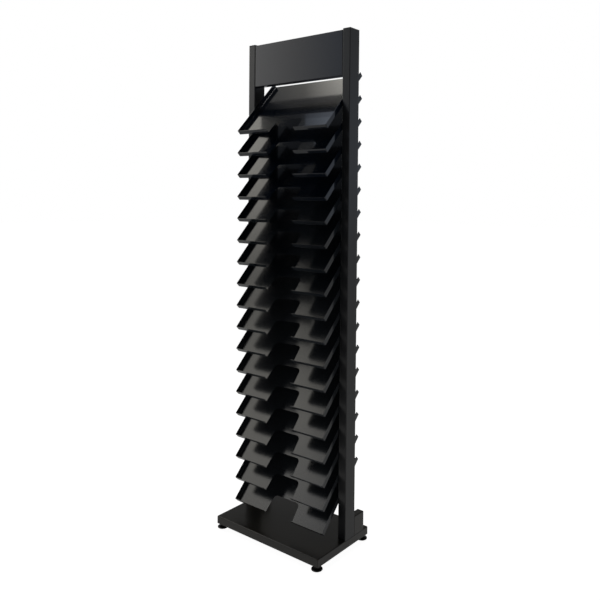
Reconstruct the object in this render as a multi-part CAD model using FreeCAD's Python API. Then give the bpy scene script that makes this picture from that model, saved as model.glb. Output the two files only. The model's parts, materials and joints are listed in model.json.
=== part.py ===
import FreeCAD, Part

import math
import os

# Floor-standing rack with a column of sloping trays between two posts.
# Millimetres. X is to the right, Y to the rear, Z up.
# The origin is on the floor, under the centre of the base.

# Driving dimensions of the whole rack
OVERALL_HEIGHT = 1990.0
BASE_WIDTH = 530.0
BASE_DEPTH = 316.0
BASE_HEIGHT = 30.0
FOOT_HEIGHT = 17.0
POST_WIDTH = 35.0
POST_DEPTH = 60.0
POST_CENTRE_Y = 37.0

# Sheet and tube thicknesses
BASE_SHEET = 2.0
TRAY_SHEET = 1.2
HEADER_SHEET = 1.2
BRACKET_SHEET = 2.0
RAIL_SHEET = 2.5
POST_WALL = 1.5
BEND_RADIUS = 1.5
POST_CORNER_RADIUS = 2.5

# Trays
TRAY_COUNT = 18
TRAY_PITCH = 89.2
TRAY_SLOPE = 46.0
TRAY_LENGTH = 311.0
TRAY_RIM = 20.0
TRAY_SIDE_GAP = 0.25
TOP_TRAY_FOLD_Z = 1606.2
TRAY_FOLD_Y = POST_CENTRE_Y - 114.5
NOTCH_MOUTH = 139.0
NOTCH_INNER = 130.0
NOTCH_DEPTH = 75.0
NOTCH_CORNER_RADIUS = 18.0

# Header panel
HEADER_BOTTOM_Z = 1813.0
HEADER_DROP = 4.0
HEADER_SETBACK = 1.2
HEADER_DEPTH = 30.0
HEADER_RETURN = 10.0
HEADER_SIDE_GAP = 0.25

# Post caps, end plates and rear brackets
CAP_FLANGE = 3.0
CAP_EDGE_RADIUS = 1.0
CAP_PLUG_DEPTH = 18.0
CAP_WALL = 2.0
PLUG_CLEARANCE = 0.2
END_PLATE_THICKNESS = 6.0
BRACKET_WIDTH = 30.0
BRACKET_DEPTH = 62.0
BRACKET_HEIGHT = 73.0
BRACKET_FLANGE = 22.0
BRACKET_MOUTH_DROP = 10.0

# Rails inside the base
RAIL_WIDTH = 30.0
RAIL_END_GAP = 1.0
POST_ACCESS_HOLE = 20.0
BRACKET_ACCESS_HOLE = 14.0

# Levelling feet
PAD_DIAMETER = 42.0
PAD_HEIGHT = 7.0
PAD_EDGE = 1.2
PAD_RIM_HEIGHT = 3.9
PAD_HUB_DIAMETER = 20.0
PAD_HUB_FOOT = 2.5
PAD_HUB_TAPER = 0.6
PAD_HUB_TOP = 9.5
PAD_SOCKET_BOTTOM = 3.0
FOOT_INSET = 17.0
STUD_DIAMETER = 8.0
STUD_TOP_Z = 40.0
STUD_POINT = 0.6
STUD_HOLE = 9.0
COLLAR_ACROSS_FLATS = 14.0
FOOT_GAP = 0.4
JAM_NUT_HEIGHT = 4.0
WELD_NUT_HEIGHT = 6.5
M8_NUT_ACROSS_FLATS = 13.0
THREAD_CLEARANCE = 0.05

# Fasteners: shank diameter, head diameter, head height
M4_SCREW = (4.0, 8.0, 2.2)
M5_SCREW = (5.0, 9.5, 2.7)
M6_SCREW = (6.0, 10.5, 3.3)
M8_BOLT_SHANK = 8.0
M8_BOLT_FLANGE = 17.0
M8_BOLT_FLANGE_HEIGHT = 1.2
M8_BOLT_HEAD_HEIGHT = 5.0
M6_NUT_ACROSS_FLATS = 10.0
M6_NUT_HEIGHT = 5.0
NUT_CHAMFER = 0.35
HOLE_CLEARANCE = 0.25
SCREW_TIP = 1.0
BOLT_TIP = 2.0
TRAY_SCREW_LENGTH = 7.0
TRAY_SCREW_SPREAD = 30.0
TRAY_SCREW_RISE = 11.0
HEADER_SCREW_LENGTH = 9.0
HEADER_SCREW_BACK = 17.0
HEADER_SCREW_INSET = 38.0
POST_BOLT_SPREAD = 36.0
BRACKET_SCREW_INSET = 13.0
BRACKET_SCREW_HEIGHTS = (24.0, 52.0)

# Worked out from the driving dimensions
BASE_TOP_Z = FOOT_HEIGHT + BASE_HEIGHT
BASE_UNDERSIDE_Z = BASE_TOP_Z - BASE_SHEET
POST_CENTRE_X = BASE_WIDTH / 2 - POST_WIDTH / 2
POST_INNER_X = BASE_WIDTH / 2 - POST_WIDTH
POST_FRONT_Y = POST_CENTRE_Y - POST_DEPTH / 2
POST_REAR_Y = POST_CENTRE_Y + POST_DEPTH / 2
POST_TOP_Z = OVERALL_HEIGHT - CAP_FLANGE
TRAY_WIDTH = 2 * (POST_INNER_X - TRAY_SIDE_GAP)
HEADER_WIDTH = 2 * (POST_INNER_X - HEADER_SIDE_GAP)
HEADER_TOP_Z = OVERALL_HEIGHT - HEADER_DROP
HEADER_FRONT_Y = POST_FRONT_Y + HEADER_SETBACK
HEADER_SCREW_Y = HEADER_FRONT_Y + HEADER_SCREW_BACK
HEADER_SCREW_Z = (HEADER_BOTTOM_Z + HEADER_SCREW_INSET, HEADER_TOP_Z - HEADER_SCREW_INSET)
FOOT_X = BASE_WIDTH / 2 - FOOT_INSET
FOOT_Y = BASE_DEPTH / 2 - FOOT_INSET
RAIL_OUTER_X = BASE_WIDTH / 2 - BASE_SHEET - BEND_RADIUS
BRACKET_CENTRE_X = BASE_WIDTH / 2 - BRACKET_WIDTH / 2
BRACKET_REAR_Y = POST_REAR_Y + BRACKET_DEPTH
BRACKET_SCREW_Y = (POST_REAR_Y + BRACKET_SCREW_INSET, BRACKET_REAR_Y - BRACKET_SCREW_INSET)
BRACKET_SCREW_Z = tuple(BASE_TOP_Z + height for height in BRACKET_SCREW_HEIGHTS)
SIDES = {"left": -1, "right": 1}

# How far cutting shapes run past the faces they cut, and how near two places count as the same
PAST = 1.0
NEAR = 1e-6

X_AXIS = FreeCAD.Vector(1, 0, 0)
Y_AXIS = FreeCAD.Vector(0, 1, 0)
Z_AXIS = FreeCAD.Vector(0, 0, 1)
ORIGIN = FreeCAD.Vector(0, 0, 0)


def box(low, high):
    """Box between two corner points."""
    sizes = [high[i] - low[i] for i in range(3)]
    return Part.makeBox(*sizes, FreeCAD.Vector(*low))


def cylinder(diameter, start, end):
    """Round bar between two points."""
    start, end = FreeCAD.Vector(*start), FreeCAD.Vector(*end)
    axis = end - start
    return Part.makeCylinder(diameter / 2, axis.Length, start, axis)


def hexagon(across_flats, height, x, y, z):
    """Upright hexagonal prism standing on the point x, y, z."""
    corner_radius = across_flats / 2 / math.cos(math.pi / 6)
    angles = [math.radians(60 * i) for i in range(7)]
    corners = [FreeCAD.Vector(x + corner_radius * math.cos(a), y + corner_radius * math.sin(a), z)
               for a in angles]
    prism = Part.Face(Part.makePolygon(corners)).extrude(FreeCAD.Vector(0, 0, height))
    rim = cylinder(2 * corner_radius, (x, y, z), (x, y, z + height))
    rim = rim.makeChamfer(NUT_CHAMFER, [e for e in rim.Edges if e.Length > corner_radius * 3])
    return prism.common(rim)


def hex_nut(across_flats, height, bore, x, y, z):
    """Upright hexagonal nut standing on the point x, y, z."""
    nut = hexagon(across_flats, height, x, y, z)
    return nut.cut(cylinder(bore, (x, y, z - PAST), (x, y, z + height + PAST)))


def pan_block(width, length, height, low_x, low_y, low_z, radius, open_rear):
    """Block whose floor edges and upright corners are rounded, for one face of a folded pan."""
    block = box((low_x, low_y, low_z), (low_x + width, low_y + length, low_z + height))
    rear_y = low_y + length
    edges = []
    for edge in block.Edges:
        middle = edge.CenterOfMass
        on_floor = abs(middle.z - low_z) < NEAR
        upright = abs(middle.z - low_z - height / 2) < NEAR
        at_rear = abs(middle.y - rear_y) < NEAR
        if (on_floor or upright) and not (open_rear and at_rear):
            edges.append(edge)
    return block.makeFillet(radius, edges)


def folded_pan(width, length, height, sheet, open_rear=False):
    """Folded sheet pan: floor at Z 0, front wall at Y 0, centred on X and open at the top."""
    outer = pan_block(width, length, height, -width / 2, 0, 0, BEND_RADIUS + sheet, open_rear)
    inner_rear = length + PAST if open_rear else length - sheet
    inner = pan_block(width - 2 * sheet, inner_rear - sheet, height + PAST,
                      -width / 2 + sheet, sheet, sheet, BEND_RADIUS, open_rear)
    return outer.cut(inner)


def pan_screw(screw, head_at, direction, length):
    """Domed pan-head screw whose head's underside is at head_at, with its shank along direction."""
    shank, head_diameter, head_height = screw
    direction = FreeCAD.Vector(*direction)
    start = FreeCAD.Vector(*head_at)
    head = Part.makeCylinder(head_diameter / 2, head_height, start, -direction)
    top = start - direction * head_height
    rim = [e for e in head.Edges
           if e.Length > head_diameter * 3 and (e.CenterOfMass - top).Length < NEAR]
    head = head.makeFillet(head_height * 0.7, rim)
    socket = Part.makeCylinder(shank * 0.3, head_height * 0.55, top, direction)
    body = Part.makeCylinder(shank / 2, length, start, direction)
    return head.cut(socket).fuse(body).removeSplitter()


# ---------------------------------------------------------------- base

def base_shell():
    """Shallow pan turned upside down, with clearance holes for the bolts that hold the uprights."""
    pan = folded_pan(BASE_WIDTH, BASE_DEPTH, BASE_HEIGHT, BASE_SHEET)
    pan.rotate(ORIGIN, Y_AXIS, 180)
    pan.translate(FreeCAD.Vector(0, -BASE_DEPTH / 2, BASE_TOP_Z))
    for side in SIDES.values():
        for y in post_bolt_ys():
            pan = pan.cut(upright_hole(M8_BOLT_SHANK + 2 * HOLE_CLEARANCE, side * POST_CENTRE_X, y))
        for y in BRACKET_SCREW_Y:
            pan = pan.cut(upright_hole(M6_SCREW[0] + 2 * HOLE_CLEARANCE, side * BRACKET_CENTRE_X, y))
    return pan


def upright_hole(diameter, x, y, low=BASE_UNDERSIDE_Z - PAST, high=BASE_TOP_Z + PAST):
    """Cutting shape for a hole through the base top, or between two other heights."""
    return cylinder(diameter, (x, y, low), (x, y, high))


def post_bolt_ys():
    return (POST_CENTRE_Y - POST_BOLT_SPREAD / 2, POST_CENTRE_Y + POST_BOLT_SPREAD / 2)


def base_rail(side):
    """U channel along one side of the base, web down, that takes the feet and stiffens the top."""
    inner_x = RAIL_OUTER_X - RAIL_WIDTH
    end_y = BASE_DEPTH / 2 - BASE_SHEET - RAIL_END_GAP
    rail = box((inner_x, -end_y, FOOT_HEIGHT), (RAIL_OUTER_X, end_y, BASE_UNDERSIDE_Z))
    hollow = box((inner_x + RAIL_SHEET, -end_y - PAST, FOOT_HEIGHT + RAIL_SHEET),
                 (RAIL_OUTER_X - RAIL_SHEET, end_y + PAST, BASE_UNDERSIDE_Z + PAST))
    rail = rail.makeFillet(BEND_RADIUS + RAIL_SHEET, long_edges(rail, FOOT_HEIGHT))
    hollow = hollow.makeFillet(BEND_RADIUS, long_edges(hollow, FOOT_HEIGHT + RAIL_SHEET))
    rail = rail.cut(hollow)
    web = (FOOT_HEIGHT - PAST, FOOT_HEIGHT + RAIL_SHEET + PAST)
    holes = [upright_hole(STUD_HOLE, FOOT_X, y, *web) for y in (-FOOT_Y, FOOT_Y)]
    holes += [upright_hole(POST_ACCESS_HOLE, POST_CENTRE_X, y, *web) for y in post_bolt_ys()]
    holes += [upright_hole(BRACKET_ACCESS_HOLE, BRACKET_CENTRE_X, y, *web) for y in BRACKET_SCREW_Y]
    return mirrored(rail.cut(Part.makeCompound(holes)), side)


def long_edges(block, z):
    """The two edges of a block that run front to rear at height z."""
    return [e for e in block.Edges
            if abs(e.CenterOfMass.z - z) < NEAR and abs(e.CenterOfMass.y) < NEAR]


def mirrored(shape, side):
    """The shape as built for the right side, or its mirror image for the left."""
    return shape if side > 0 else shape.mirror(ORIGIN, X_AXIS)


def at_feet(make):
    """One solid from make(x, y) at each of the four feet."""
    return Part.makeCompound([make(x, y) for x in (-FOOT_X, FOOT_X) for y in (-FOOT_Y, FOOT_Y)])


def foot_weld_nuts():
    bore = STUD_DIAMETER + 2 * THREAD_CLEARANCE
    return at_feet(lambda x, y: hex_nut(M8_NUT_ACROSS_FLATS, WELD_NUT_HEIGHT, bore,
                                        x, y, FOOT_HEIGHT + RAIL_SHEET))


def foot_jam_nuts():
    bore = STUD_DIAMETER + 2 * THREAD_CLEARANCE
    return at_feet(lambda x, y: hex_nut(M8_NUT_ACROSS_FLATS, JAM_NUT_HEIGHT, bore,
                                        x, y, FOOT_HEIGHT - JAM_NUT_HEIGHT))


def foot_pad(x, y):
    """Moulded disc that stands on the floor, with a hub and a socket for the stud's end."""
    rim, hub = PAD_DIAMETER / 2, PAD_HUB_DIAMETER / 2
    outline = [
        (0, 0), (rim - PAD_EDGE, 0), (rim, PAD_EDGE), (rim, PAD_RIM_HEIGHT),
        (hub + PAD_HUB_FOOT, PAD_HEIGHT), (hub, PAD_HEIGHT + PAD_HUB_TAPER),
        (hub - PAD_HUB_TAPER, PAD_HUB_TOP), (0, PAD_HUB_TOP), (0, 0)]
    wire = Part.makePolygon([FreeCAD.Vector(x + r, y, z) for r, z in outline])
    pad = Part.Face(wire).revolve(FreeCAD.Vector(x, y, 0), Z_AXIS, 360)
    socket = cylinder(STUD_DIAMETER + 2 * FOOT_GAP, (x, y, PAD_SOCKET_BOTTOM),
                      (x, y, PAD_HUB_TOP + PAST))
    return pad.cut(socket)


def foot_stud(x, y):
    """Threaded stud with a hexagonal collar for the spanner, drawn at its thread's outer size."""
    collar_low = PAD_HUB_TOP + FOOT_GAP
    collar_high = FOOT_HEIGHT - JAM_NUT_HEIGHT - FOOT_GAP
    rod = cylinder(STUD_DIAMETER, (x, y, PAD_SOCKET_BOTTOM + FOOT_GAP), (x, y, STUD_TOP_Z))
    rod = rod.makeChamfer(STUD_POINT, [e for e in rod.Edges if e.Length > STUD_DIAMETER * 3
                                       and abs(e.CenterOfMass.z - STUD_TOP_Z) < NEAR])
    collar = hexagon(COLLAR_ACROSS_FLATS, collar_high - collar_low, x, y, collar_low)
    return rod.fuse(collar).removeSplitter()


# ---------------------------------------------------------------- uprights

def rounded_bar(width, depth, low_z, high_z, radius):
    """Upright rectangular bar at the right post's place, with rounded corners."""
    bar = box((POST_CENTRE_X - width / 2, POST_CENTRE_Y - depth / 2, low_z),
              (POST_CENTRE_X + width / 2, POST_CENTRE_Y + depth / 2, high_z))
    uprights = [e for e in bar.Edges if abs(e.Length - (high_z - low_z)) < NEAR]
    return bar.makeFillet(radius, uprights)


def post(side):
    """Rectangular tube, with holes for the tray, header and bracket screws."""
    tube = rounded_bar(POST_WIDTH, POST_DEPTH, BASE_TOP_Z, POST_TOP_Z, POST_CORNER_RADIUS)
    tube = tube.cut(rounded_bar(POST_WIDTH - 2 * POST_WALL, POST_DEPTH - 2 * POST_WALL,
                                BASE_TOP_Z - PAST, POST_TOP_Z + PAST, POST_CORNER_RADIUS - POST_WALL))
    inner_wall = (POST_INNER_X - PAST, POST_INNER_X + POST_WALL + PAST)
    holes = [cylinder(M4_SCREW[0] + 2 * THREAD_CLEARANCE, (inner_wall[0], y, z), (inner_wall[1], y, z))
             for y, z in tray_screw_points()]
    holes += [cylinder(M5_SCREW[0] + 2 * THREAD_CLEARANCE, (inner_wall[0], HEADER_SCREW_Y, z),
                       (inner_wall[1], HEADER_SCREW_Y, z)) for z in HEADER_SCREW_Z]
    holes += [cylinder(M6_SCREW[0] + 2 * HOLE_CLEARANCE,
                       (BRACKET_CENTRE_X, POST_REAR_Y - POST_WALL - PAST, z),
                       (BRACKET_CENTRE_X, POST_REAR_Y + PAST, z)) for z in BRACKET_SCREW_Z]
    return mirrored(tube.cut(Part.makeCompound(holes)), side)


def post_cap(side):
    """Moulded cap: a flange the size of the tube and a hollow plug that pushes into it."""
    flange = rounded_bar(POST_WIDTH, POST_DEPTH, POST_TOP_Z, OVERALL_HEIGHT, POST_CORNER_RADIUS)
    top_edges = [e for e in flange.Edges if abs(e.CenterOfMass.z - OVERALL_HEIGHT) < NEAR]
    flange = flange.makeFillet(CAP_EDGE_RADIUS, top_edges)
    shrink = 2 * (POST_WALL + PLUG_CLEARANCE)
    plug = rounded_bar(POST_WIDTH - shrink, POST_DEPTH - shrink,
                       POST_TOP_Z - CAP_PLUG_DEPTH, POST_TOP_Z, POST_CORNER_RADIUS - POST_WALL)
    inset = POST_WALL + PLUG_CLEARANCE + CAP_WALL
    hollow = box((POST_INNER_X + inset, POST_FRONT_Y + inset, POST_TOP_Z - CAP_PLUG_DEPTH - PAST),
                 (BASE_WIDTH / 2 - inset, POST_REAR_Y - inset, POST_TOP_Z))
    return mirrored(flange.fuse(plug.cut(hollow)).removeSplitter(), side)


def post_end_plate(side):
    """Steel plate welded into the foot of the tube, tapped for the two bolts."""
    shrink = 2 * (POST_WALL + PLUG_CLEARANCE)
    plate = rounded_bar(POST_WIDTH - shrink, POST_DEPTH - shrink, BASE_TOP_Z,
                        BASE_TOP_Z + END_PLATE_THICKNESS, POST_CORNER_RADIUS - POST_WALL)
    for y in post_bolt_ys():
        plate = plate.cut(upright_hole(M8_BOLT_SHANK + 2 * THREAD_CLEARANCE, POST_CENTRE_X, y,
                                       BASE_TOP_Z - PAST, BASE_TOP_Z + END_PLATE_THICKNESS + PAST))
    return mirrored(plate, side)


def post_bolts():
    """Flanged bolts that come up through the base top into the end plates."""
    bolts = []
    head_low = BASE_UNDERSIDE_Z - M8_BOLT_HEAD_HEIGHT
    for x in (-POST_CENTRE_X, POST_CENTRE_X):
        for y in post_bolt_ys():
            head = hexagon(M8_NUT_ACROSS_FLATS, M8_BOLT_HEAD_HEIGHT, x, y, head_low)
            flange = cylinder(M8_BOLT_FLANGE, (x, y, BASE_UNDERSIDE_Z - M8_BOLT_FLANGE_HEIGHT),
                              (x, y, BASE_UNDERSIDE_Z))
            shank = cylinder(M8_BOLT_SHANK, (x, y, BASE_UNDERSIDE_Z - M8_BOLT_FLANGE_HEIGHT),
                             (x, y, BASE_TOP_Z + END_PLATE_THICKNESS + BOLT_TIP))
            bolts.append(head.fuse(flange).fuse(shank).removeSplitter())
    return Part.makeCompound(bolts)


def post_bracket(side):
    """Box bracket behind the foot of a post, open below between its two base flanges."""
    low_x, high_x = BRACKET_CENTRE_X - BRACKET_WIDTH / 2, BRACKET_CENTRE_X + BRACKET_WIDTH / 2
    top_z = BASE_TOP_Z + BRACKET_HEIGHT
    block = box((low_x, POST_REAR_Y, BASE_TOP_Z), (high_x, BRACKET_REAR_Y, top_z))
    block = block.makeFillet(BEND_RADIUS + BRACKET_SHEET,
                             [e for e in block.Edges if e.CenterOfMass.z > BASE_TOP_Z + NEAR
                              and e.CenterOfMass.y > POST_REAR_Y + NEAR])
    hollow = box((low_x + BRACKET_SHEET, POST_REAR_Y + BRACKET_SHEET, BASE_TOP_Z + BRACKET_SHEET),
                 (high_x - BRACKET_SHEET, BRACKET_REAR_Y - BRACKET_SHEET, top_z - BRACKET_SHEET))
    mouth = box((low_x + BRACKET_SHEET, POST_REAR_Y + BRACKET_FLANGE, BASE_TOP_Z - PAST),
                (high_x - BRACKET_SHEET, BRACKET_REAR_Y - BRACKET_FLANGE, top_z - BRACKET_MOUTH_DROP))
    hole = M6_SCREW[0] + 2 * HOLE_CLEARANCE
    holes = [upright_hole(hole, BRACKET_CENTRE_X, y, BASE_TOP_Z - PAST, BASE_TOP_Z + BRACKET_SHEET + PAST)
             for y in BRACKET_SCREW_Y]
    holes += [cylinder(hole, (BRACKET_CENTRE_X, POST_REAR_Y - PAST, z),
                       (BRACKET_CENTRE_X, POST_REAR_Y + BRACKET_SHEET + PAST, z)) for z in BRACKET_SCREW_Z]
    return mirrored(block.cut(hollow).cut(mouth).cut(Part.makeCompound(holes)), side)


def bracket_base_screws():
    """Screws from under the base top into the brackets' flanges."""
    length = BASE_SHEET + BRACKET_SHEET + M6_NUT_HEIGHT + SCREW_TIP
    return Part.makeCompound([
        pan_screw(M6_SCREW, (side * BRACKET_CENTRE_X, y, BASE_UNDERSIDE_Z), (0, 0, 1), length)
        for side in SIDES.values() for y in BRACKET_SCREW_Y])


def bracket_base_nuts():
    """Weld nuts on top of the brackets' flanges."""
    bore = M6_SCREW[0] + 2 * THREAD_CLEARANCE
    return Part.makeCompound([
        hex_nut(M6_NUT_ACROSS_FLATS, M6_NUT_HEIGHT, bore, side * BRACKET_CENTRE_X, y,
                BASE_TOP_Z + BRACKET_SHEET)
        for side in SIDES.values() for y in BRACKET_SCREW_Y])


def bracket_post_screws():
    """Screws from inside the brackets into the rear walls of the posts."""
    length = BRACKET_SHEET + POST_WALL + M6_NUT_HEIGHT + SCREW_TIP
    return Part.makeCompound([
        pan_screw(M6_SCREW, (side * BRACKET_CENTRE_X, POST_REAR_Y + BRACKET_SHEET, z), (0, -1, 0), length)
        for side in SIDES.values() for z in BRACKET_SCREW_Z])


def bracket_post_nuts():
    """Weld nuts on the inside of the posts' rear walls."""
    bore = M6_SCREW[0] + 2 * THREAD_CLEARANCE
    nuts = []
    for side in SIDES.values():
        for z in BRACKET_SCREW_Z:
            nut = hex_nut(M6_NUT_ACROSS_FLATS, M6_NUT_HEIGHT, bore, 0, 0, 0)
            nut.rotate(ORIGIN, X_AXIS, 90)
            nut.translate(FreeCAD.Vector(side * BRACKET_CENTRE_X, POST_REAR_Y - POST_WALL, z))
            nuts.append(nut)
    return Part.makeCompound(nuts)


# ---------------------------------------------------------------- header

def header_panel():
    """Folded box panel between the tops of the posts, open at the rear between its returns."""
    height = HEADER_TOP_Z - HEADER_BOTTOM_Z
    panel = folded_pan(HEADER_WIDTH, height, HEADER_DEPTH, HEADER_SHEET)
    end_x = HEADER_WIDTH / 2 - HEADER_SHEET
    root = HEADER_SHEET / 2
    for low_y, high_y in ((root, HEADER_RETURN), (height - HEADER_RETURN, height - root)):
        panel = panel.fuse(box((-end_x, low_y, HEADER_DEPTH - HEADER_SHEET), (end_x, high_y, HEADER_DEPTH)))
    panel = panel.removeSplitter()
    panel.rotate(ORIGIN, X_AXIS, 90)
    panel.rotate(ORIGIN, Z_AXIS, 180)
    panel.translate(FreeCAD.Vector(0, HEADER_FRONT_Y, HEADER_BOTTOM_Z))
    holes = [cylinder(M5_SCREW[0] + 2 * HOLE_CLEARANCE, (-HEADER_WIDTH, HEADER_SCREW_Y, z),
                      (HEADER_WIDTH, HEADER_SCREW_Y, z)) for z in HEADER_SCREW_Z]
    return panel.cut(Part.makeCompound(holes))


def header_screws():
    """Screws from inside the header's side walls into the posts."""
    head_x = HEADER_WIDTH / 2 - HEADER_SHEET
    return Part.makeCompound([
        pan_screw(M5_SCREW, (side * head_x, HEADER_SCREW_Y, z), (side, 0, 0), HEADER_SCREW_LENGTH)
        for side in SIDES.values() for z in HEADER_SCREW_Z])


# ---------------------------------------------------------------- trays

def tray_fold_z(index):
    """Height of the front fold of a tray, counted from 0 at the top."""
    return TOP_TRAY_FOLD_Z - index * TRAY_PITCH


def on_slope(shape, index):
    """Move a shape from the tray's own axes (X, up the slope, out of the panel) to its place."""
    shape.rotate(ORIGIN, X_AXIS, TRAY_SLOPE)
    shape.translate(FreeCAD.Vector(0, TRAY_FOLD_Y, tray_fold_z(index)))
    return shape


def tray_screw_slope_ys():
    """Distances up the slope of the two screws in each rim, centred on the post."""
    slope = math.radians(TRAY_SLOPE)
    middle = (POST_CENTRE_Y - TRAY_FOLD_Y + TRAY_SCREW_RISE * math.sin(slope)) / math.cos(slope)
    return (middle - TRAY_SCREW_SPREAD / 2, middle + TRAY_SCREW_SPREAD / 2)


def tray_screw_points():
    """Y and Z of every tray screw's axis."""
    slope = math.radians(TRAY_SLOPE)
    points = []
    for index in range(TRAY_COUNT):
        for along in tray_screw_slope_ys():
            y = TRAY_FOLD_Y + along * math.cos(slope) - TRAY_SCREW_RISE * math.sin(slope)
            z = tray_fold_z(index) + along * math.sin(slope) + TRAY_SCREW_RISE * math.cos(slope)
            points.append((y, z))
    return points


def finger_notch():
    """Tapering cut through the front rim and the panel, with rounded inner corners."""
    taper = (NOTCH_MOUTH - NOTCH_INNER) / 2 / NOTCH_DEPTH
    mouth = NOTCH_MOUTH / 2 + taper * PAST
    inner = NOTCH_INNER / 2
    corners = [(-mouth, -PAST), (mouth, -PAST), (inner, NOTCH_DEPTH), (-inner, NOTCH_DEPTH)]
    wire = Part.makePolygon([FreeCAD.Vector(x, y, -PAST) for x, y in corners + corners[:1]])
    prism = Part.Face(wire).extrude(FreeCAD.Vector(0, 0, TRAY_RIM + 2 * PAST))
    inner_edges = [e for e in prism.Edges
                   if abs(e.CenterOfMass.y - NOTCH_DEPTH) < NEAR and abs(e.CenterOfMass.x) > NEAR]
    return prism.makeFillet(NOTCH_CORNER_RADIUS, inner_edges)


def tray_blank():
    """One folded tray in its own axes: panel, two side rims, and a front rim split by the notch."""
    pan = folded_pan(TRAY_WIDTH, TRAY_LENGTH, TRAY_RIM, TRAY_SHEET, open_rear=True)
    holes = [cylinder(M4_SCREW[0] + 2 * HOLE_CLEARANCE, (-TRAY_WIDTH, y, TRAY_SCREW_RISE),
                      (TRAY_WIDTH, y, TRAY_SCREW_RISE)) for y in tray_screw_slope_ys()]
    return pan.cut(finger_notch()).cut(Part.makeCompound(holes))


def tray_screws(side):
    """Screws through the side rims of all the trays into one post."""
    head_x = side * (TRAY_WIDTH / 2 - TRAY_SHEET)
    return Part.makeCompound([pan_screw(M4_SCREW, (head_x, y, z), (side, 0, 0), TRAY_SCREW_LENGTH)
                              for y, z in tray_screw_points()])


# ---------------------------------------------------------------- output

def save(name, shape):
    if not shape.isValid():
        raise ValueError(name + " is not valid")
    shape.exportStep("parts/" + name + ".step")


def main():
    os.makedirs("parts", exist_ok=True)
    save("base_shell", base_shell())
    save("foot_weld_nuts", foot_weld_nuts())
    save("foot_jam_nuts", foot_jam_nuts())
    for end, y in (("front", -FOOT_Y), ("rear", FOOT_Y)):
        for name, side in SIDES.items():
            save(f"{end}_{name}_foot_pad", foot_pad(side * FOOT_X, y))
            save(f"{end}_{name}_foot_stud", foot_stud(side * FOOT_X, y))
    for name, side in SIDES.items():
        save(name + "_base_rail", base_rail(side))
        save(name + "_post", post(side))
        save(name + "_post_cap", post_cap(side))
        save(name + "_post_end_plate", post_end_plate(side))
        save(name + "_post_bracket", post_bracket(side))
        save(name + "_tray_screws", tray_screws(side))
    save("post_bolts", post_bolts())
    save("bracket_base_screws", bracket_base_screws())
    save("bracket_base_nuts", bracket_base_nuts())
    save("bracket_post_screws", bracket_post_screws())
    save("bracket_post_nuts", bracket_post_nuts())
    save("header_panel", header_panel())
    save("header_screws", header_screws())
    blank = tray_blank()
    for index in range(TRAY_COUNT):
        save(f"tray_{index + 1:02d}", on_slope(blank.copy(), index))


main()
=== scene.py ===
"""A floor-standing rack of sloping trays, in black powder-coated steel, in a plain white studio.

Lengths are in metres, in the CAD's frame: x to the right, y to the rear and z up.
"""
import json
import math

import bpy
import bmesh
from mathutils import Matrix, Vector


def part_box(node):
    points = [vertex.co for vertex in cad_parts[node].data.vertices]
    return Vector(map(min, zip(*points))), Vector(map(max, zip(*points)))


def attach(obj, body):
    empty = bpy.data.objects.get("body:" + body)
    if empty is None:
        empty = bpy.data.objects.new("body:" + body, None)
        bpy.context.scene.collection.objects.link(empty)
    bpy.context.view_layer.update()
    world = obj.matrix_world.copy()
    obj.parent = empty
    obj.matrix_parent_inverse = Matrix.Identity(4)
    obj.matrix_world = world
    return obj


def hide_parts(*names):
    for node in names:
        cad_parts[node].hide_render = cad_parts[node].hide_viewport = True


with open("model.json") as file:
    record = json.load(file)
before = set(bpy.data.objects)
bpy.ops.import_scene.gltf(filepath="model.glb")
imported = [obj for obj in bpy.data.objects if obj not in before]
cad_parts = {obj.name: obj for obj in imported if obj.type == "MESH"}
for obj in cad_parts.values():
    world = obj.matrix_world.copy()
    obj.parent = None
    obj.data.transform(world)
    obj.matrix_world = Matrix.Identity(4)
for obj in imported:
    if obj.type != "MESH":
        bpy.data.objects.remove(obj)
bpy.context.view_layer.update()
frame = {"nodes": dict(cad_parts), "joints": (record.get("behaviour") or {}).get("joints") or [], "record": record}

# ---------------------------------------------------------------- camera

SENSOR_MM = 36.0
LENS_MM = 39.456
CAMERA_PLACE = Vector((1.7301, -1.9814, 1.3491))
CAMERA_YAW = 37.757                 # degrees, and so are the next two
CAMERA_PITCH = -1.259
CAMERA_ROLL = 0.555
CAMERA_SHIFT = (-0.0545, -0.14525)  # of the lens, in widths of the sensor
NEAREST, FARTHEST = 0.05, 100.0


def link(obj):
    bpy.context.scene.collection.objects.link(obj)
    return obj


def make_camera():
    """Camera whose lens shift is a lean of its axis, so that other views stay centred."""
    data = bpy.data.cameras.new("camera")
    data.sensor_width = SENSOR_MM
    lean_x, lean_y = [shift * SENSOR_MM / LENS_MM for shift in CAMERA_SHIFT]
    lean = Matrix(((1, 0, -lean_x, 0), (0, 1, -lean_y, 0), (0, 0, 1, 0), (0, 0, 0, 1)))
    data.lens = LENS_MM * Vector((lean_x, lean_y, 1)).length
    data.clip_start, data.clip_end = NEAREST, FARTHEST
    camera = link(bpy.data.objects.new("camera", data))
    turn = (Matrix.Rotation(math.radians(CAMERA_YAW), 4, "Z")
            @ Matrix.Rotation(math.radians(90 + CAMERA_PITCH), 4, "X")
            @ Matrix.Rotation(math.radians(CAMERA_ROLL), 4, "Z"))
    camera.parent = link(bpy.data.objects.new("tripod", None))
    camera.matrix_parent_inverse = Matrix.Translation(CAMERA_PLACE) @ turn @ lean
    bpy.context.scene.camera = camera


# ---------------------------------------------------------------- stage and light

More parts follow.
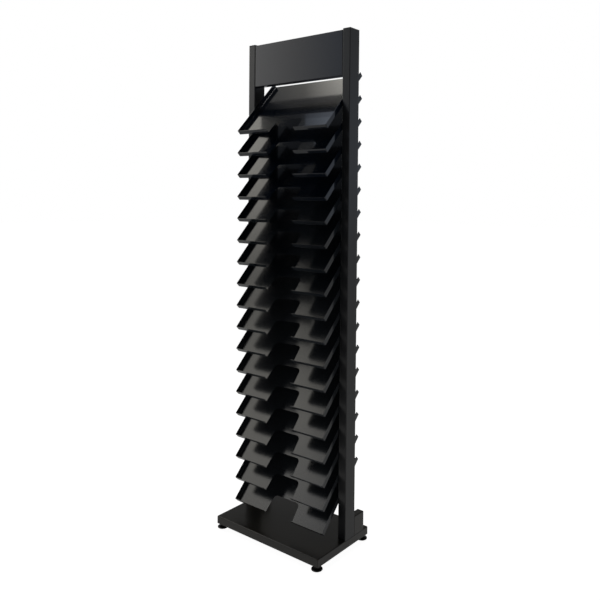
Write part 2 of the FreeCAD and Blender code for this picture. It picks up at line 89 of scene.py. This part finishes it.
CEILING_LIGHT = 0.07           # brightness of the room that the coat reflects
REAR_LIGHT = 0.4
FRONT_LIGHT = 0.13
FRONT_TO_REAR = (-0.7, 0.6)    # where the room turns from front to rear light, as a direction's y
WALL_TO_CEILING = (0.0, 0.5)   # where its walls turn into its ceiling, as a direction's z
COOL = (0.85, 0.95, 1.12)      # tints of the room and of the lights
WARM = (1.03, 1.0, 0.92)
NEUTRAL = (1.0, 1.0, 1.0)
FLOOR_HALF_SIZE = 30
FLOOR_GREY = 0.6
FLOOR_GLOW = 0.2               # brightness of the floor in reflections
FLOOR_WHITE = 0.96             # the same for the camera, which sees the floor all but white


def rectangle(name, centre, along, up):
    """Flat rectangle with half sides along and up, lit on the side that along x up points to."""
    centre, along, up = Vector(centre), Vector(along), Vector(up)
    corners = [centre - along - up, centre + along - up, centre + along + up, centre - along + up]
    mesh = bpy.data.meshes.new(name)
    mesh.from_pydata([tuple(c) for c in corners], [], [(0, 1, 2, 3)])
    mesh.uv_layers.new(name="place")
    obj = link(bpy.data.objects.new(name, mesh))
    return obj


def softbox(name, centre, along, up, stops):
    """Glowing rectangle. A stop is (part of the way along its first side, brightness, tint)."""
    panel = rectangle(name, centre, along, up)
    panel.visible_camera = False
    material = bpy.data.materials.new(name)
    material.use_nodes = True
    nodes, links = material.node_tree.nodes, material.node_tree.links
    nodes.clear()
    place = nodes.new("ShaderNodeUVMap")
    split = nodes.new("ShaderNodeSeparateXYZ")
    fade = nodes.new("ShaderNodeValToRGB")
    marks = fade.color_ramp.elements
    for spare in stops[2:]:
        marks.new(spare[0])
    for mark, (place_along, brightness, tint) in zip(marks, stops):
        mark.position = place_along
        mark.color = (*[brightness * part for part in tint], 1)
    glow = nodes.new("ShaderNodeEmission")
    out = nodes.new("ShaderNodeOutputMaterial")
    front = nodes.new("ShaderNodeNewGeometry")
    dark = nodes.new("ShaderNodeMath")
    dark.operation = "SUBTRACT"
    dark.inputs[0].default_value = 1.0
    links.new(place.outputs["UV"], split.inputs["Vector"])
    links.new(split.outputs["X"], fade.inputs["Fac"])
    links.new(fade.outputs["Color"], glow.inputs["Color"])
    links.new(front.outputs["Backfacing"], dark.inputs[1])
    links.new(dark.outputs["Value"], glow.inputs["Strength"])
    links.new(glow.outputs["Emission"], out.inputs["Surface"])
    panel.data.materials.append(material)


def make_floor():
    """White floor, as low as the levelling feet go, and clear from below."""
    foot_travel = max(joint["range_m"][1] for joint in frame["joints"] if joint["type"] == "slide")
    floor = rectangle("floor", (0, 0, -foot_travel),
                      (FLOOR_HALF_SIZE, 0, 0), (0, FLOOR_HALF_SIZE, 0))
    material = bpy.data.materials.new("pale_floor")
    material.use_nodes = True
    nodes, links = material.node_tree.nodes, material.node_tree.links
    nodes.clear()
    ray = nodes.new("ShaderNodeLightPath")
    grey = nodes.new("ShaderNodeBsdfDiffuse")
    grey.inputs["Color"].default_value = (FLOOR_GREY, FLOOR_GREY, FLOOR_GREY, 1)
    seen = nodes.new("ShaderNodeMapRange")
    seen.inputs["To Min"].default_value = FLOOR_GLOW
    seen.inputs["To Max"].default_value = FLOOR_WHITE
    glow = nodes.new("ShaderNodeEmission")
    both = nodes.new("ShaderNodeAddShader")
    side = nodes.new("ShaderNodeNewGeometry")
    clear = nodes.new("ShaderNodeBsdfTransparent")
    sided = nodes.new("ShaderNodeMixShader")
    out = nodes.new("ShaderNodeOutputMaterial")
    links.new(ray.outputs["Is Camera Ray"], seen.inputs["Value"])
    links.new(seen.outputs["Result"], glow.inputs["Strength"])
    links.new(grey.outputs["BSDF"], both.inputs[0])
    links.new(glow.outputs["Emission"], both.inputs[1])
    links.new(side.outputs["Backfacing"], sided.inputs["Fac"])
    links.new(both.outputs["Shader"], sided.inputs[1])
    links.new(clear.outputs["BSDF"], sided.inputs[2])
    links.new(sided.outputs["Shader"], out.inputs["Surface"])
    floor.data.materials.append(material)


def make_room():
    """White to look at, but it lights as a dim room with cool walls and a warm ceiling."""
    world = bpy.data.worlds.new("white_room")
    bpy.context.scene.world = world
    world.use_nodes = True
    nodes, links = world.node_tree.nodes, world.node_tree.links
    nodes.clear()
    place = nodes.new("ShaderNodeTexCoord")
    split = nodes.new("ShaderNodeSeparateXYZ")
    links.new(place.outputs["Generated"], split.inputs["Vector"])
    rear = nodes.new("ShaderNodeMapRange")
    rear.interpolation_type = "SMOOTHSTEP"
    rear.inputs["From Min"].default_value, rear.inputs["From Max"].default_value = FRONT_TO_REAR
    rear.inputs["To Min"].default_value = FRONT_LIGHT
    rear.inputs["To Max"].default_value = REAR_LIGHT
    links.new(split.outputs["Y"], rear.inputs["Value"])
    high = nodes.new("ShaderNodeMapRange")
    high.interpolation_type = "SMOOTHSTEP"
    high.inputs["From Min"].default_value, high.inputs["From Max"].default_value = WALL_TO_CEILING
    links.new(split.outputs["Z"], high.inputs["Value"])
    walls = nodes.new("ShaderNodeMix")
    links.new(high.outputs["Result"], walls.inputs["Factor"])
    links.new(rear.outputs["Result"], walls.inputs["A"])
    walls.inputs["B"].default_value = CEILING_LIGHT
    tint = nodes.new("ShaderNodeMix")
    tint.data_type = "RGBA"
    tint.inputs["A"].default_value = (*COOL, 1)
    tint.inputs["B"].default_value = (*WARM, 1)
    links.new(high.outputs["Result"], tint.inputs["Factor"])
    room = nodes.new("ShaderNodeBackground")
    links.new(tint.outputs["Result"], room.inputs["Color"])
    links.new(walls.outputs["Result"], room.inputs["Strength"])
    white = nodes.new("ShaderNodeBackground")
    white.inputs["Color"].default_value = (1, 1, 1, 1)
    ray = nodes.new("ShaderNodeLightPath")
    seen = nodes.new("ShaderNodeMixShader")
    out = nodes.new("ShaderNodeOutputWorld")
    links.new(ray.outputs["Is Camera Ray"], seen.inputs["Fac"])
    links.new(room.outputs["Background"], seen.inputs[1])
    links.new(white.outputs["Background"], seen.inputs[2])
    links.new(seen.outputs["Shader"], out.inputs["Surface"])


def make_light():
    """The room and the glowing panels that the coat reflects."""
    make_room()
    softbox("left_softbox", (-2.6, -1.8, 3.1), (0, 2.4, 0), (0, 0, 1.1),
            [(0.0, 0.38, COOL), (0.1, 0.42, COOL), (0.26, 0.7, NEUTRAL), (0.38, 1.05, NEUTRAL),
             (0.58, 1.5, WARM), (0.76, 0.62, WARM), (0.88, 1.35, WARM)])
    softbox("rear_overhead_softbox", (-1.05, 0.865, 3.0), (0.45, 0, 0), (0, -0.6, 0),
            [(0.0, 0.15, NEUTRAL), (0.13, 0.19, NEUTRAL), (0.5, 0.42, WARM), (0.84, 1.7, WARM),
             (1.0, 2.1, WARM)])
    softbox("front_overhead_softbox", (-0.85, -0.05, 3.0), (0.2, 0, 0), (0, -0.19, 0),
            [(0.0, 0.3, COOL), (0.5, 0.7, COOL), (1.0, 0.9, COOL)])
    softbox("overhead_strip", (0.35, 0.05, 3.0), (0.25, 0, 0), (0, -0.12, 0),
            [(0.0, 8.0, NEUTRAL), (1.0, 8.0, NEUTRAL)])
    bpy.context.scene.view_settings.view_transform = "Standard"


# ---------------------------------------------------------------- materials

BODY_ROUGHNESS = 0.22          # of the powder coats, under their glossy skin
BODY_SPECULAR = 0.3
ORANGE_PEEL = (0.0022, 0.000006)    # size across and height of the coats' bumps
COAT_GRAIN = (0.0006, 0.0000008)
NOISE_MIDDLE = (0.3, 0.7)      # the middle of a noise texture's values, where most of them lie


class Shader:
    """A node material with one Principled shader, and helpers that add its texture."""

    def __init__(self, name, colour, roughness, metallic=0.0):
        self.material = bpy.data.materials.new(name)
        self.material.use_nodes = True
        self.nodes = self.material.node_tree.nodes
        self.links = self.material.node_tree.links
        self.principled = self.nodes["Principled BSDF"]
        self.principled.inputs["Base Color"].default_value = (*colour, 1)
        self.principled.inputs["Roughness"].default_value = roughness
        self.principled.inputs["Metallic"].default_value = metallic
        self.place = self.nodes.new("ShaderNodeTexCoord").outputs["Object"]
        self.normal = None

    def noise(self, size, detail=2.0):
        """Noise whose features are about size metres across."""
        texture = self.nodes.new("ShaderNodeTexNoise")
        texture.inputs["Scale"].default_value = 1.0 / size
        texture.inputs["Detail"].default_value = detail
        self.links.new(self.place, texture.inputs["Vector"])
        return texture.outputs["Fac"]

    def between(self, value, low, high):
        """Spread the middle of a noise's values over the range from low to high."""
        spread = self.nodes.new("ShaderNodeMapRange")
        limits = spread.inputs
        limits["From Min"].default_value, limits["From Max"].default_value = NOISE_MIDDLE
        limits["To Min"].default_value, limits["To Max"].default_value = low, high
        self.links.new(value, spread.inputs["Value"])
        return spread.outputs["Result"]

    def vary_gloss(self, size, low, high):
        gloss = self.between(self.noise(size), low, high)
        self.links.new(gloss, self.principled.inputs["Roughness"])

    def vary_colour(self, size, first, second):
        mix = self.nodes.new("ShaderNodeMix")
        mix.data_type = "RGBA"
        mix.inputs["A"].default_value = (*first, 1)
        mix.inputs["B"].default_value = (*second, 1)
        self.links.new(self.between(self.noise(size, 4.0), 0.0, 1.0), mix.inputs["Factor"])
        self.links.new(mix.outputs["Result"], self.principled.inputs["Base Color"])

    def relief(self, size, height, detail=2.0):
        """Add bumps about size across and height tall, in metres."""
        bump = self.nodes.new("ShaderNodeBump")
        bump.inputs["Distance"].default_value = height
        self.links.new(self.noise(size, detail), bump.inputs["Height"])
        if self.normal is not None:
            self.links.new(self.normal, bump.inputs["Normal"])
        self.normal = bump.outputs["Normal"]
        self.links.new(self.normal, self.principled.inputs["Normal"])
        self.links.new(self.normal, self.principled.inputs["Coat Normal"])


def powder_coat(name, colour, skin_roughness, skin=1.0, body_specular=BODY_SPECULAR):
    """Black powder coat: a glossy skin over a duller body, with orange peel and a fine grain."""
    coat = Shader(name, colour, BODY_ROUGHNESS)
    coat.principled.inputs["Coat Weight"].default_value = skin
    coat.principled.inputs["Coat Roughness"].default_value = skin_roughness
    coat.principled.inputs["Specular IOR Level"].default_value = body_specular
    coat.vary_gloss(0.12, BODY_ROUGHNESS - 0.02, BODY_ROUGHNESS + 0.03)
    coat.vary_colour(0.2, colour, [0.8 * c for c in colour])
    coat.relief(*ORANGE_PEEL)
    coat.relief(*COAT_GRAIN)
    return coat.material


def moulded_plastic(name, colour, roughness):
    plastic = Shader(name, colour, roughness)
    plastic.vary_gloss(0.01, roughness - 0.05, roughness + 0.05)
    plastic.vary_colour(0.015, colour, [0.7 * c for c in colour])
    plastic.relief(0.0007, 0.00002, 3.0)
    return plastic.material


def plated_steel(name, colour, roughness):
    steel = Shader(name, colour, roughness, metallic=1.0)
    steel.vary_gloss(0.004, roughness - 0.08, roughness + 0.1)
    steel.vary_colour(0.006, colour, [0.75 * c for c in colour])
    steel.relief(0.0004, 0.000008, 3.0)
    return steel.material


def paint(node, material):
    """Give a CAD piece a material in place of its own."""
    mesh = frame["nodes"][node].data
    mesh.materials.clear()
    mesh.materials.append(material)


# One for each slot in the record
MATERIALS = {
    "frame_coat": powder_coat("frame_coat", (0.016, 0.0125, 0.008), 0.28, 0.82),
    "tray_coat": powder_coat("tray_coat", (0.002, 0.006, 0.014), 0.04, body_specular=0.2),
    "header_coat": powder_coat("header_coat", (0.005, 0.0065, 0.014), 0.09),
    "cap_plastic": moulded_plastic("cap_plastic", (0.012, 0.012, 0.012), 0.38),
    "foot_nylon": moulded_plastic("foot_nylon", (0.009, 0.009, 0.009), 0.3),
    "zinc_steel": plated_steel("zinc_steel", (0.10, 0.10, 0.105), 0.32),
    "black_screws": plated_steel("black_screws", (0.05, 0.05, 0.052), 0.35),
}

# The posts' coat: colour, roughness of the skin, and how much skin there is
POST_COAT = ((0.009, 0.010, 0.012), 0.42, 0.85)
# Seen from the front, the top trays look darkest, so the trays further down get copies of the same tray coat with
# a duller skin and a lighter colour, which is painted light standing in for the light that reaches their panels:
# first tray, name, colour, roughness of the skin
TRAY_COATS = [(5, "tray_coat_middle_painted_lighter", (0.010, 0.014, 0.019), 0.11),
              (9, "tray_coat_low_painted_lighter", (0.024, 0.028, 0.033), 0.18)]


def paint_cad():
    """Paint the CAD pieces by slot, then the posts in a coat of their own, and the lower trays in copies of the
    tray coat with a duller skin and a lighter colour that is painted light.
    """
    trays = sorted(name for name in frame["nodes"] if name.startswith("tray_"))
    for part in frame["record"]["subparts"]:
        paint(part["node"], MATERIALS[part["material_slot"]])
    dull = powder_coat("post_coat", *POST_COAT)
    paint("left_post", dull)
    paint("right_post", dull)
    for first, name, colour, skin_roughness in TRAY_COATS:
        # painted light: the lower trays' coat is coloured lighter for the light that reaches their panels, though
        # all trays wear the same coat
        duller_and_painted_lighter = powder_coat(name, colour, skin_roughness)
        for tray in trays[first - 1:]:
            paint(tray, duller_and_painted_lighter)


# ---------------------------------------------------------------- levelling feet

FEET = [f"{end}_{side}" for end in ("front", "rear") for side in ("left", "right")]
STUD_RADIUS = 0.004
THREAD_PITCH = 0.00125         # M8, as in the coupling of each foot's height and turn
THREAD_DEPTH = 0.00067
THREAD_CREST = 1 / 8           # flat crest and root, as parts of the pitch
THREAD_ROOT = 1 / 4
STEPS_AROUND = 24
STEPS_PER_PITCH = 8
COLLAR_LOW, COLLAR_HIGH = 0.0099, 0.0126  # these and the pad's are heights in the frame, at rest
COLLAR_RADIUS = 0.007 / math.cos(math.radians(30))
COLLAR_CHAMFER = 0.0004
PAD_BOTTOM_EDGE = 0.0012
PAD_RIM_HIGH = 0.0039
HUB_RADIUS = 0.01
HUB_FOOT, HUB_TAPER = 0.0025, 0.0006
PAD_HIGH = 0.007
SOCKET_RADIUS = 0.0044
SOCKET_LOW = 0.003
MOULD_ROUNDING = 0.0004
SHARP_EDGE = math.radians(20)  # edges that turn more than this are rounded


def mesh_piece(name, shape, body, node, slot):
    """Object made from a bmesh, which rides on the body and stands for the CAD node."""
    bmesh.ops.recalc_face_normals(shape, faces=shape.faces)
    mesh = bpy.data.meshes.new(name)
    shape.to_mesh(mesh)
    shape.free()
    mesh.materials.append(MATERIALS[slot])
    piece = link(bpy.data.objects.new(name, mesh))
    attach(piece, body)
    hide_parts(node)
    return piece


def add_rings(shape, rings):
    """Skin over rings of points, from the bottom up, closed with a flat face at each end."""
    rows = [[shape.verts.new(point) for point in ring] for ring in rings]
    for low, high in zip(rows, rows[1:]):
        for i in range(len(low)):
            j = (i + 1) % len(low)
            shape.faces.new((low[i], low[j], high[j], high[i]))
    shape.faces.new(rows[0][::-1])
    shape.faces.new(rows[-1])


def ring(centre, z, radii):
    step = 2 * math.pi / len(radii)
    return [(centre[0] + r * math.cos(i * step), centre[1] + r * math.sin(i * step), z)
            for i, r in enumerate(radii)]


def thread_depth(z, turn):
    """How deep the thread is at height z, part of a turn round the stud."""
    phase = (z / THREAD_PITCH - turn) % 1.0
    slope = (abs(2 * phase - 1) - THREAD_CREST) / (1 - THREAD_CREST - THREAD_ROOT)
    return THREAD_DEPTH * min(max(slope, 0.0), 1.0)


def foot_stud(foot):
    """Plain end in the pad's socket, hexagonal collar, and a cut thread above it."""
    node = f"{foot}_foot_stud"
    low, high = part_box(node)
    centre = (low + high) / 2
    shape = bmesh.new()
    add_rings(shape, [ring(centre, z, [STUD_RADIUS] * STEPS_AROUND) for z in (low.z, COLLAR_LOW)])
    collar = [(COLLAR_LOW, COLLAR_RADIUS - COLLAR_CHAMFER),
              (COLLAR_LOW + COLLAR_CHAMFER, COLLAR_RADIUS),
              (COLLAR_HIGH - COLLAR_CHAMFER, COLLAR_RADIUS),
              (COLLAR_HIGH, COLLAR_RADIUS - COLLAR_CHAMFER)]
    add_rings(shape, [ring(centre, z, [r] * 6) for z, r in collar])
    rise = THREAD_PITCH / STEPS_PER_PITCH
    rows = round((high.z - COLLAR_HIGH) / rise)
    thread = []
    for row in range(rows + 1):
        z = COLLAR_HIGH + (high.z - COLLAR_HIGH) * row / rows
        point = STUD_RADIUS - THREAD_DEPTH + high.z - z
        thread.append(ring(centre, z, [min(STUD_RADIUS - thread_depth(z, i / STEPS_AROUND), point)
                                       for i in range(STEPS_AROUND)]))
    add_rings(shape, thread)
    mesh_piece(f"{foot}_threaded_stud", shape, f"{foot}_stud", node, "zinc_steel")


def foot_pad(foot):
    """Moulded pad with softened edges and a socket for the stud."""
    node = f"{foot}_foot_pad"
    low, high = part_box(node)
    centre = (low + high) / 2
    rim = (high.x - low.x) / 2
    outline = [(rim - PAD_BOTTOM_EDGE, low.z), (rim, low.z + PAD_BOTTOM_EDGE), (rim, PAD_RIM_HIGH),
               (HUB_RADIUS + HUB_FOOT, PAD_HIGH), (HUB_RADIUS, PAD_HIGH + HUB_TAPER),
               (HUB_RADIUS - HUB_TAPER, high.z), (SOCKET_RADIUS, high.z),
               (SOCKET_RADIUS, SOCKET_LOW)]
    shape = bmesh.new()
    add_rings(shape, [ring(centre, z, [r] * 3 * STEPS_AROUND) for r, z in outline])
    piece = mesh_piece(f"{foot}_moulded_pad", shape, f"{foot}_foot", node, "foot_nylon")
    rounding = piece.modifiers.new("rounding", "BEVEL")
    rounding.width = MOULD_ROUNDING
    rounding.segments = 3
    rounding.limit_method = "ANGLE"
    rounding.angle_limit = SHARP_EDGE
    piece.data.shade_smooth()


make_camera()
make_floor()
make_light()
paint_cad()
for foot in FEET:
    foot_stud(foot)
    foot_pad(foot)
